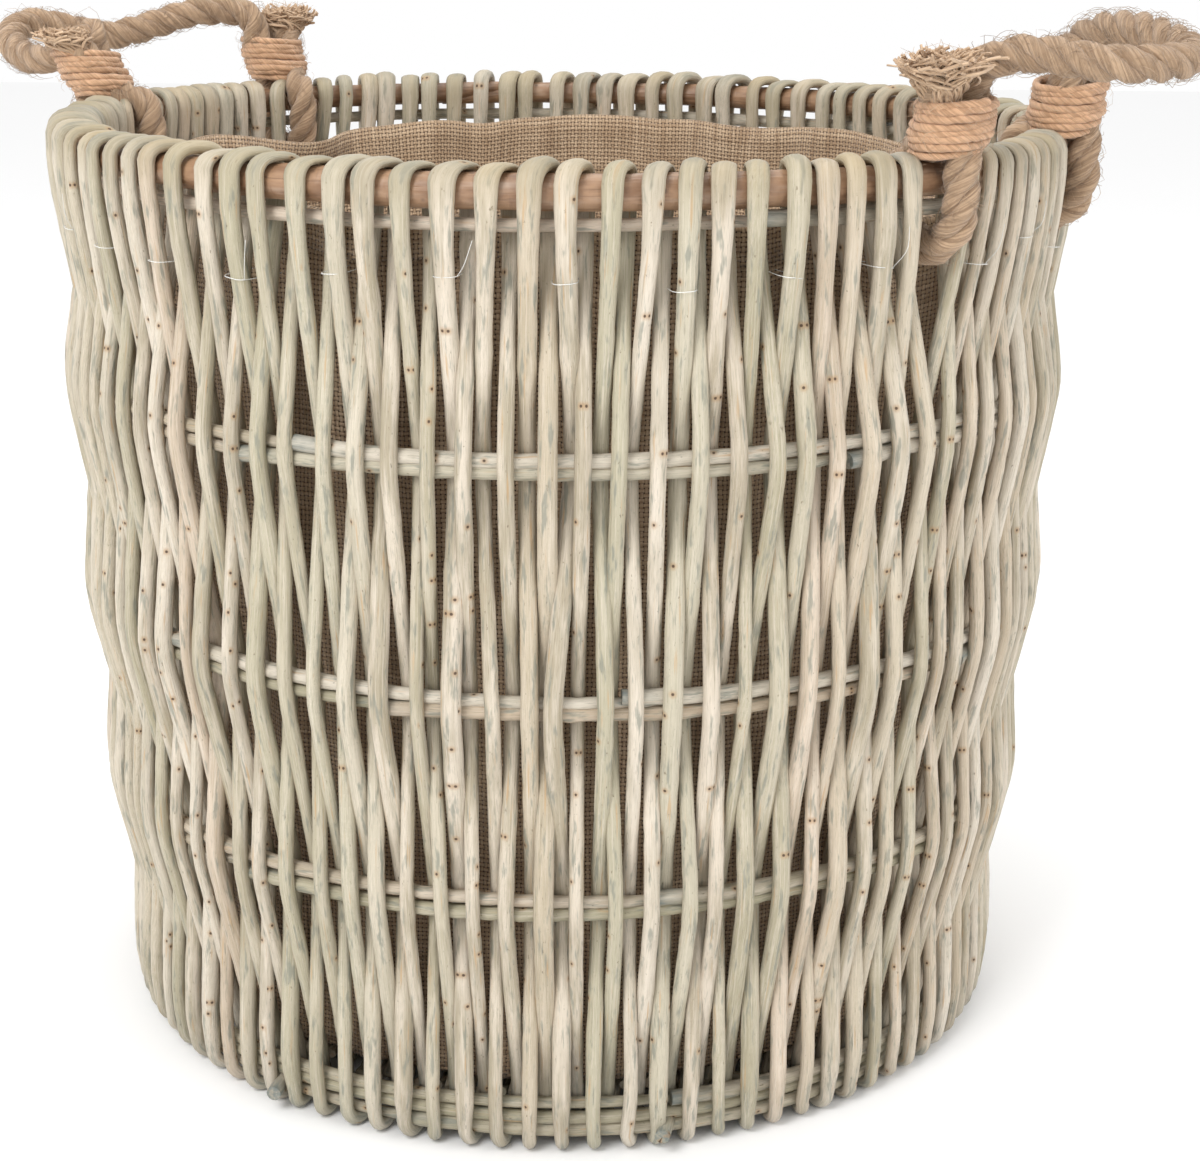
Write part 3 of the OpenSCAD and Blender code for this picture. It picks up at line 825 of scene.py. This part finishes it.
def hairpin(place, chance):
    """One rod: its chain of points with thickness, rubs and stains."""
    outer_r = chance.uniform(0.0032, 0.0047)
    inner_r = chance.uniform(0.0029, 0.0041)
    if chance.random() < 0.3:
        outer_r, inner_r = inner_r, outer_r
    rim_t = (outer_r + inner_r) / 2
    flat = chance.uniform(0.25, 0.65)
    signs = (1, -1, 1, -1, 1)
    nearest_eye = min(abs(away) for away in rods_from_eyes(place))
    top_sway = chance.uniform(-0.0028, 0.0028) * min(1.0, nearest_eye / 6)
    ways = {}
    for leg, sign, size in (("outer", 1, outer_r), ("inner", -1, inner_r)):
        top = rim_rod_r + rim_t * (1 - 0.6 * flat)
        levels = [(rim_z, sign * top)]
        levels.append((top_hoop_z - 0.004, sign * (top_hoop_r + size + 0.0022)))
        for (z, hoop), s in zip(bands, signs[1:4]):
            levels.append((z, sign * s * (hoop + size + 0.0004)))
        foot_side = foot_hoop_r + min(size, foot_thick) + hoop_gap
        levels.append((foot_high_z + 0.004, sign * foot_side))
        last = foot_low_z if leg == "outer" else foot_low_z + 0.003
        levels.append((last, sign * foot_side))
        sways = [top_sway, top_sway * 0.8]
        sways += [chance.gauss(0, 0.0016) for k in bands] + [chance.gauss(0, 0.0008), 0.0]
        number = place if leg == "outer" else place + 0.5
        ways[leg] = leg_points(
            (number + eye_push(number)) * rod_step, number * rod_step, levels, sways
        )
    # Over the rim, from the inner leg's top to the outer leg's top
    inner_top = ways["inner"][0]
    outer_top = ways["outer"][0]
    middle = (inner_top + outer_top) / 2
    reach = (outer_top - inner_top) / 2
    crown = rim_rod_r + rim_t * (1 - 0.75 * flat)
    bend = []
    for angle in np.linspace(math.pi, 0, 13)[1:-1]:
        c, s = math.cos(angle), math.sin(angle)
        bend.append(middle + reach * math.copysign(abs(c) ** 0.72, c)
                    + np.array((0, 0, crown * abs(s) ** 0.72)))
    # Under the foot, slightly to one side
    foot = ways["outer"][-1]
    out = np.array((foot[0], foot[1], 0.0)) / math.hypot(foot[0], foot[1])
    aside = np.array((-out[1], out[0], 0.0))
    hook_r = foot_hoop_r + min(outer_r, foot_thick) + hoop_gap
    lean = chance.uniform(-0.0008, 0.002)
    hook = []
    for angle in np.linspace(0, math.radians(chance.uniform(125, 160)), 8)[1:]:
        fall = math.sin(angle) * (foot_low_z - foot_thick - hoop_gap)
        hook.append(foot + out * hook_r * (math.cos(angle) - 1) - np.array((0, 0, fall))
                    + aside * lean * angle)
    points = np.concatenate([ways["inner"][::-1], np.array(bend), ways["outer"][1:], np.array(hook)])
    along = length_along(points)
    n_inner = len(ways["inner"])
    rim_at = along[n_inner + 5]
    share = np.clip((along - rim_at) / 0.30, -1, 1) * 0.5 + 0.5
    thick = inner_r + (outer_r - inner_r) * share
    # Knots: short swellings, irregular
    for k in range(chance.randint(4, 8)):
        at = chance.uniform(0, along[-1])
        thick = thick * (1 + chance.uniform(0.03, 0.12) * np.exp(-((along - at) / 0.006) ** 2))
    thick = thick * (1 + 0.03 * np.sin(along * chance.uniform(15, 40) + chance.uniform(0, 6)))
    thinned = np.clip((0.034 - (along[-1] - along)) / 0.018, 0, 1)
    thick = thick * (1 - thinned) + np.minimum(thick, foot_thick) * thinned
    near_rim = np.exp(-((along - rim_at) / 0.016) ** 2)
    widen = flat * np.exp(-((along - rim_at) / 0.034) ** 2)
    ends = np.exp(-along / 0.02) + np.exp(-(along[-1] - along) / 0.012)
    stain = np.clip(0.8 * ends, 0, 0.8) + chance.uniform(0.1, 0.55) * near_rim
    rub = chance.uniform(0.35, 1.0) * near_rim
    aside = np.array((-math.sin(place * rod_step), math.cos(place * rod_step), 0.0))
    return {
        "points": points, "thick": thick, "seed": chance.random(), "rub": rub,
        "stain": stain, "widen": widen, "side": aside,
    }


rod_groups = 12
rods_in_group = rod_places // rod_groups
for group in range(rod_groups):
    node = f"rods_{group + 1:02d}"
    chance = random.Random(node)
    chains = [hairpin(group * rods_in_group + k, chance) for k in range(rods_in_group)]
    rods = lay_stock(node + "_willow", chains, rod_finish, 12, 0.0004, 150.0)
    stands_for(rods, node)


# ---------------------------------------------------------------- rim rod
# One thick rod with its brown bark left on, bent to a ring; its ends are cut on a
# long slant and lie together, so that the ring is thinner there.

def bark_finish():
    """Brown bark under a thin wash: rings, knots and a pale rubbed bloom."""
    made, shader, tree = material_tree("brown_bark")
    grain = attribute(tree, "grain")
    streaks = noise(tree, stretched(tree, grain, 700.0, 30.0), 1.0, 3.0, 0.6)
    patches = noise(tree, stretched(tree, grain, 110.0, 40.0), 1.0, 3.0, 0.6)
    bloom = noise(tree, stretched(tree, grain, 60.0, 14.0), 3.1, 2.0, 0.5)
    rings = noise(tree, stretched(tree, grain, 90.0, 620.0), 1.0, 2.0, 0.5)
    brown, tan = (0.22, 0.12, 0.065, 1), (0.40, 0.245, 0.145, 1)
    body = blend_colour(tree, ramp(tree, patches, 0.3, 0.7), brown, tan)
    dots = wire(
        tree, "ShaderNodeTexVoronoi", {"Vector": grain, "Scale": 70.0}
    ).outputs["Distance"]
    body = layered(tree, body, (
        (bloom, (0.5, 0.78, 0.0, 0.5), (0.52, 0.40, 0.31)),
        (streaks, (0.25, 0.45, 0.6, 0.0), (0.15, 0.085, 0.05)),
        (rings, (0.62, 0.75, 0.0, 0.35), (0.18, 0.10, 0.06)),
        (dots, (0.05, 0.13, 0.7, 0.0), (0.10, 0.06, 0.04)),
    ))
    tree.links.new(body, shader.inputs["Base Color"])
    shader.inputs["Roughness"].default_value = 0.42
    shader.inputs["Specular IOR Level"].default_value = 0.45
    bump(tree, shader, calc(tree, "ADD", streaks, calc(tree, "MULTIPLY", rings, 0.5)), 0.0005)
    return made


def ring_points(radius, z, first, last, step=0.007):
    """Points along an arc round the basket's axis, between two directions in degrees."""
    count = max(8, int(abs(math.radians(last - first)) * radius / step))
    turn = np.radians(np.linspace(first, last, count))
    return turn, np.stack([radius * np.cos(turn), radius * np.sin(turn), np.full(count, z)], axis=1)


turn, points = ring_points(rim_radius, rim_z, 96.0, 96.0 + 372.0)
share = np.linspace(0, 1, len(turn))
rim_taper = rim_rod_r * (1.0 - 0.22 * np.abs(2 * share - 1) ** 1.5)
overlap = 12 / 360
run_in = np.clip(share / overlap, 0, 1)
run_out = np.clip((1 - share) / overlap, 0, 1)
rim_taper = rim_taper * (0.45 + 0.55 * np.minimum(run_in, run_out))
points[:, 2] += 0.004 * (1 - run_in) - 0.004 * (1 - run_out)
rim_rod = lay_stock(
    "rim_rod_bark", [{"points": points, "thick": rim_taper, "seed": 0.4}],
    bark_finish(), 20, 0.0007, 60.0,
)
stands_for(rim_rod, "rim_hoop")


# ---------------------------------------------------------------- hoops and weavers
# Thinner peeled rods that go round between the legs. Each ring is made of several
# rods, butt to tip, and where one runs out the next lies beside it with its slanted
# cut end showing.
weaver_finish = willow_finish("washed_weaver", (0.57, 0.505, 0.405, 1), (0.38, 0.335, 0.24, 1), 3.0)


def spliced_ring(node, starts, swell, drift):
    """A ring of rods; starts are the directions, in degrees, where each rod begins."""
    radius, z, half = measure_ring(node)
    chance = random.Random(node)
    chains = []
    for k, first in enumerate(starts):
        last = starts[(k + 1) % len(starts)] + (360 if k == len(starts) - 1 else 0)
        last += chance.uniform(5, 9)
        turn, points = ring_points(radius + belly(z), z, first, last)
        along = length_along(points)
        share = along / along[-1]
        butt = 1 - np.clip(along / 0.035, 0, 1)
        tip = 1 - np.clip((along[-1] - along) / 0.045, 0, 1)
        ripple = swell * np.sin(turn * rod_places)
        out = ripple - 0.0022 * tip + 0.0016 * butt
        points[:, 0] += out * np.cos(turn)
        points[:, 1] += out * np.sin(turn)
        points[:, 2] += drift * (half * 0.9) * (butt - tip)
        points[:, 2] += 0.0008 * np.sin(turn * chance.uniform(2, 5) + chance.uniform(0, 6))
        thick = half * (1.14 - 0.34 * share) * (1 - 0.35 * tip)
        for j in range(4):
            at = chance.uniform(0, along[-1])
            thick = thick * (1 + 0.10 * np.exp(-((along - at) / 0.005) ** 2))
        ends = np.exp(-along / 0.012) + np.exp(-(along[-1] - along) / 0.02)
        chains.append({
            "points": points, "thick": thick, "seed": chance.random(),
            "stain": np.clip(0.9 * ends, 0, 0.9),
        })
    ring = lay_stock(node + "_willow", chains, weaver_finish, 12, 0.0004, 150.0)
    stands_for(ring, node)


spliced_ring("top_hoop", (-71, 40, 165), 0.0, 0.6)
spliced_ring("upper_weaver_high", (-118, -15, 95, 190), -0.0006, 0.5)
spliced_ring("upper_weaver_low", (-60, 30, 140, 235), -0.0006, -0.5)
spliced_ring("middle_weaver_high", (-84, 20, 130, 220), 0.0006, 0.5)
spliced_ring("middle_weaver_low", (-40, 55, 165, 250), 0.0006, -0.5)
spliced_ring("lower_weaver_high", (-80, 10, 110, 205), -0.0006, 0.5)
spliced_ring("lower_weaver_low", (-130, -30, 70, 160), -0.0006, -0.5)
spliced_ring("foot_hoop_high", (-77, 45, 160), 0.0, 0.4)
spliced_ring("foot_hoop_middle", (-20, 95, 210), 0.0, 0.3)
spliced_ring("foot_hoop_low", (-110, 15, 130), 0.0, -0.2)


# ---------------------------------------------------------------- floor
# Two runners lie under the floor and poke out through the foot; sticks cross them,
# and thin rods are woven over and under the sticks.
floor_finish = willow_finish("floor_willow_finish", (0.46, 0.395, 0.29, 1), (0.34, 0.285, 0.195, 1), 7.0)
runner_turn = math.radians(-102)
floor_low, floor_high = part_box("floor_rods")
floor_radius = (floor_high[0] - floor_low[0]) / 2
stick_z = sum(corner[2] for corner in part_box("floor_sticks")) / 2
floor_rod_z = (floor_low[2] + floor_high[2]) / 2
floor_rod_r = (floor_high[2] - floor_low[2]) / 2
stick_pitch = 0.028
stick_rows = 6
stick_r = 0.003


def floor_bar(turn, offset, z, reach, step=0.01):
    """Points of a straight rod across the floor, offset from its middle."""
    half = math.sqrt(max(reach ** 2 - offset ** 2, 1e-4))
    run = np.linspace(-half, half, max(6, int(2 * half / step)))
    return run, np.stack([
        run * math.cos(turn) - offset * math.sin(turn),
        run * math.sin(turn) + offset * math.cos(turn),
        np.full(len(run), z),
    ], axis=1)


runner_low, runner_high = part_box("floor_runners")
runner_r = (runner_high[2] - runner_low[2]) / 2
runner_z = (runner_low[2] + runner_high[2]) / 2
chains = []
for side in (-1, 1):
    run, points = floor_bar(runner_turn, side * 0.095, runner_z + 0.001, foot_radius + 0.012)
    ends = np.exp(-(run[-1] - np.abs(run)) / 0.01)
    chains.append({"points": points, "thick": runner_r, "seed": 0.5 + side * 0.3, "stain": ends * 0.9})
runners = lay_stock("floor_runners_willow", chains, floor_finish, 14, 0.0004, 150.0)
stands_for(runners, "floor_runners")

chance = random.Random("floor")
chains = []
for row in range(-stick_rows, stick_rows + 1):
    run, points = floor_bar(runner_turn + math.pi / 2, row * stick_pitch, stick_z, floor_radius - 0.002)
    thick = stick_r * chance.uniform(0.9, 1.1)
    chains.append({"points": points, "thick": thick, "seed": chance.random()})
sticks = lay_stock("floor_sticks_willow", chains, floor_finish, 12, 0.0004, 150.0)
stands_for(sticks, "floor_sticks")

chains = []
row_pitch = 2 * floor_rod_r + 0.0002
rows = int((floor_radius - 0.008) / row_pitch)
for row in range(-rows, rows + 1):
    run, points = floor_bar(runner_turn, row * row_pitch, stick_z, floor_radius - 0.001, 0.007)
    weave = math.copysign(1, (row % 2) - 0.5) * np.cos(math.pi * run / stick_pitch)
    points[:, 2] = (stick_z + floor_rod_z) / 2 + weave * (stick_r + floor_rod_r * 0.4)
    thick = floor_rod_r * chance.uniform(0.82, 1.0)
    chains.append({"points": points, "thick": thick, "seed": chance.random()})
floor_weave = lay_stock("floor_rods_willow", chains, floor_finish, 8, 0.0003, 150.0)
stands_for(floor_weave, "floor_rods")


# ---------------------------------------------------------------- lining
# A bag of open plain-weave jute (hessian), cut as one long strip and a round floor,
# hemmed at the top and caught to the rods with clear nylon thread. Between the
# stitches its edge sags and its wall lies in soft folds.
thread_pitch = 0.0022


def hessian_finish():
    """Plain-weave jute: threads over and under, slubs and loose lint; the gaps between threads and the
    low parts of the threads are darkened as painted shade.
    """
    made, shader, tree = material_tree("hessian_cloth")
    cloth = wire(tree, "ShaderNodeUVMap", {}, uv_map="cloth").outputs[0]
    drift = wire(
        tree, "ShaderNodeTexNoise", {"Vector": cloth, "Scale": 38.0, "Detail": 2.0}
    ).outputs["Color"]
    drift = scaled(tree, vector_math(tree, "SUBTRACT", drift, (0.5, 0.5, 0.5)), 0.0022)
    cloth = vector_math(tree, "ADD", cloth, drift)
    threads = scaled(tree, cloth, 1 / thread_pitch)
    parts = wire(tree, "ShaderNodeSeparateXYZ", {"Vector": threads}).outputs
    upright, level = parts[0], parts[1]

    def crest(value):
        """1 along the middle of each thread, 0 in the gaps between threads."""
        wave = calc(tree, "ABSOLUTE", calc(tree, "SINE", calc(tree, "MULTIPLY", value, math.pi)))
        return calc(tree, "POWER", wave, 0.7)

    warp = crest(upright)
    weft = crest(level)
    level_count = calc(tree, "ADD", calc(tree, "FLOOR", level), 4000.0)
    parity = calc(
        tree, "MODULO", calc(tree, "ADD", calc(tree, "FLOOR", upright), level_count), 2.0
    )
    # Over one and under the next: the upper thread bulges where it crosses
    crossing = calc(tree, "MULTIPLY", parity, 0.45)
    warp_top = calc(tree, "MULTIPLY", warp, calc(tree, "ADD", 0.55, crossing))
    weft_top = calc(tree, "MULTIPLY", weft, calc(tree, "SUBTRACT", 1.0, crossing))
    height = calc(tree, "MAXIMUM", warp_top, weft_top)
    # The holes between the threads; below they are painted nearly black, as painted shade seen through
    # the open weave.
    gap = calc(
        tree, "MULTIPLY",
        ramp(tree, warp, 0.42, 0.72, 1.0, 0.0), ramp(tree, weft, 0.42, 0.72, 1.0, 0.0),
    )
    slub_up = noise(tree, vector_math(tree, "MULTIPLY", threads, (1.0, 0.04, 1.0)), 1.3, 1.0)
    slub_level = noise(tree, vector_math(tree, "MULTIPLY", threads, (0.04, 1.0, 1.0)), 1.3, 1.0)
    tone = calc(tree, "MULTIPLY", calc(tree, "ADD", slub_up, slub_level), 0.5)
    clouds = noise(tree, cloth, 16.0, 3.0, 0.6)
    fibres = noise(tree, cloth, 2600.0, 2.0, 0.7)
    dull, bright = (0.37, 0.25, 0.155, 1), (0.62, 0.465, 0.315, 1)
    body = blend_colour(tree, ramp(tree, tone, 0.35, 0.65), dull, bright)
    body = layered(tree, body, (
        (clouds, (0.35, 0.7, 0.0, 0.45), (0.46, 0.32, 0.20)),
        (fibres, (0.55, 0.8, 0.0, 0.4), (0.62, 0.47, 0.32)),
        # Painted shade: the low parts of each thread, where it dips under the crossing one, are painted
        # darker.
        (height, (0.45, 0.85, 0.55, 0.0), (0.17, 0.10, 0.055)),
    ))
    # Painted shade: the holes between the threads are painted nearly black, standing in for the shade
    # seen through them.
    body = blend_colour(tree, gap, body, (0.055, 0.03, 0.016, 1))
    tree.links.new(body, shader.inputs["Base Color"])
    shader.inputs["Roughness"].default_value = 0.9
    shader.inputs["Specular IOR Level"].default_value = 0.2
    shader.inputs["Sheen Weight"].default_value = 0.2
    relief = calc(tree, "ADD", height, calc(tree, "MULTIPLY", fibres, 0.2))
    bump(tree, shader, relief, 0.0009)
    return made


cloth_finish = hessian_finish()
cloth_t = 0.0009
wall_gap = 0.0034
lining_low, lining_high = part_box("lining_wall")
lining_floor_low, lining_floor_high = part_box("lining_floor")
lining_top_r = lining_high[0]
lining_top_z = lining_high[2]
lining_slope = (rim_radius - foot_radius) / (rim_z - foot_low_z)


def lining_radius(z):
    """Radius of the lining's outer face at a height."""
    return lining_top_r - 0.001 - (lining_top_z - z) * lining_slope


def turns_from_eyes(turn):
    """The angle from each rope eye to a direction, up to half a turn either way."""
    return [(turn - eye * rod_step + math.pi) % (2 * math.pi) - math.pi for eye in eye_places]


def wall_fold(turn, z):
    """How far the cloth stands in from the rods at a place on the wall."""
    up = (z - lining_low[2]) / (lining_top_z - lining_low[2])
    soft = 0.0016 * math.sin(9 * turn + 4 * up) + 0.0012 * math.sin(23 * turn - 7 * up + 1.3)
    soft += 0.0009 * math.sin(41 * turn + 17 * up)
    slack = 0.0024 * (1 + math.sin(5 * turn + 3 * math.sin(3 * turn) + 6 * up)) * (0.3 + 0.7 * up)
    near_hoop = math.exp(-((z - top_hoop_z) / 0.022) ** 2)
    bulge = 0.0
    for away in turns_from_eyes(turn):
        bulge += 0.015 * math.exp(-(away / 0.085) ** 2) * near_hoop
    return wall_gap + soft + slack + bulge


def edge_height(turn):
    """Height of the hem; it dips between the stitches and behind the rope eyes."""
    height = lining_top_z - 0.002 + 0.0025 * math.sin(7 * turn + 0.8) * math.sin(3 * turn)
    height += 0.0009 * math.sin(19 * turn + 3 * math.sin(4 * turn)) * (1 + math.sin(6 * turn + 2))
    for away in turns_from_eyes(turn):
        height -= 0.007 * math.exp(-(away / 0.16) ** 2)
    return height


def cloth_mesh(name, points, rows, columns, uv):
    """A grid of cloth closed round the basket, rows from bottom to top."""
    faces = []
    for low in range(0, (rows - 1) * columns, columns):
        high = low + columns
        for i in range(columns):
            k = (i + 1) % columns
            faces.append((low + i, low + k, high + k, high + i))
    mesh = bpy.data.meshes.new(name)
    mesh.from_pydata(points, [], faces)
    layer = mesh.uv_layers.new(name="cloth")
    for face in mesh.polygons:
        last_column = face.index % columns == columns - 1
        for corner in face.loop_indices:
            vertex = mesh.loops[corner].vertex_index
            column, row = vertex % columns, vertex // columns
            if last_column and column == 0:
                column = columns
            layer.data[corner].uv = uv(column, row)
    mesh.shade_smooth()
    made = bpy.data.objects.new(name, mesh)
    bpy.context.collection.objects.link(made)
    made.data.materials.append(cloth_finish)
    skin = made.modifiers.new("cloth_thickness", "SOLIDIFY")
    skin.thickness = cloth_t
    skin.offset = -1
    return made


lining_columns = 360
wall_rows = 52
hem_drop = 0.016
points = []
row_heights = []
for row in range(wall_rows):
    share = row / (wall_rows - 1)
    for i in range(lining_columns):
        turn = 2 * math.pi * i / lining_columns
        top = edge_height(turn)
        z = lining_low[2] + 0.001 + (top - lining_low[2]) * share
        radius = lining_radius(z) - wall_fold(turn, z)
        points.append((radius * math.cos(turn), radius * math.sin(turn), z))
    row_heights.append((lining_top_z - lining_low[2]) * share)
# The hem turns over outwards and lies down behind the edge.
for out, drop in ((0.0007, -0.0010), (0.0019, -0.0008), (0.0026, 0.0010), (0.0027, hem_drop)):
    for i in range(lining_columns):
        turn = 2 * math.pi * i / lining_columns
        top = edge_height(turn)
        radius = lining_radius(top) - wall_fold(turn, top) + out
        points.append((radius * math.cos(turn), radius * math.sin(turn), top - drop))
    row_heights.append(row_heights[-1] + (0.0015 if drop < 0.005 else hem_drop))
wall_length = 2 * math.pi * hoop_radius(0.24)
lining_wall = cloth_mesh(
    "lining_wall_cloth", points, len(row_heights), lining_columns,
    lambda column, row: (wall_length * column / lining_columns, row_heights[row]),
)
stands_for(lining_wall, "lining_wall")

# The floor cloth: a disc whose edge turns up a little into the seam
floor_rings = 36
disc_columns = lining_columns // 2
disc_r = (lining_floor_high[0] - lining_floor_low[0]) / 2 - 0.004
points = []
for j in range(floor_rings + 1):
    for i in range(disc_columns):
        turn = 2 * math.pi * i / disc_columns
        radius = 0.001 + (disc_r - 0.001) * j / floor_rings
        x, y = radius * math.cos(turn), radius * math.sin(turn)
        lift = 0.0006 * (1 + math.sin(40 * x) * math.sin(55 * y))
        lift += 0.003 * max(0.0, (radius / disc_r - 0.93) / 0.07) ** 2
        points.append((x, y, lining_floor_low[2] + 0.0012 + lift))


def disc_uv(column, row):
    """The floor cloth's weave runs straight across it."""
    turn = 2 * math.pi * column / disc_columns
    radius = disc_r * row / floor_rings
    return radius * math.cos(turn) + 3.0, radius * math.sin(turn) + 3.0


lining_floor = cloth_mesh("lining_floor_cloth", points, floor_rings + 1, disc_columns, disc_uv)
stands_for(lining_floor, "lining_floor")


# ---------------------------------------------------------------- stitches
# Clear nylon thread: a loop round every third outer leg, through the cloth behind
# it, with short loose tails.
nylon, shader, tree = material_tree("clear_nylon")
lint = noise(tree, wire(tree, "ShaderNodeTexCoord", {}).outputs["Object"], 900.0)
body = blend_colour(tree, lint, (0.80, 0.82, 0.80, 1), (0.95, 0.95, 0.92, 1))
tree.links.new(body, shader.inputs["Base Color"])
shader.inputs["Alpha"].default_value = 0.6
shader.inputs["Roughness"].default_value = 0.18
shader.inputs["Specular IOR Level"].default_value = 0.7
chance = random.Random("stitches")
chains = []
for place in range(0, rod_places, 3):
    turn = (place + eye_push(place)) * rod_step
    z = top_hoop_z - chance.uniform(0.018, 0.030)
    share = (rim_z - z) / (rim_z - bands[0][0])
    turn = turn + (place * rod_step - turn) * share
    front = hoop_radius(z) + 0.0105
    back = lining_radius(z) - 0.002
    slant = chance.uniform(-0.002, 0.002)
    half = 0.0052
    loop = [
        (back, -half * 0.9, z), (front - 0.004, -half, z + slant * 0.3), (front, 0.0, z + slant * 0.6),
        (front - 0.004, half, z + slant), (back, half * 0.9, z + slant),
    ]
    chains.append({
        "points": smooth_path([place_at(turn, *point) for point in loop], 0.0022),
        "thick": 0.00020,
    })
    if chance.random() < 0.4:
        tail = [
            (front - 0.003, half, z + slant),
            (front + 0.001, half + 0.004, z + 0.006),
            (front + 0.002, half + chance.uniform(0.003, 0.008), z + 0.016),
        ]
        chains.append({
            "points": smooth_path([place_at(turn, *point) for point in tail], 0.003),
            "thick": 0.00015,
        })
stitches = lay_stock("lining_stitches", chains, nylon, 6, 0.0, 100.0)
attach(stitches, "root")
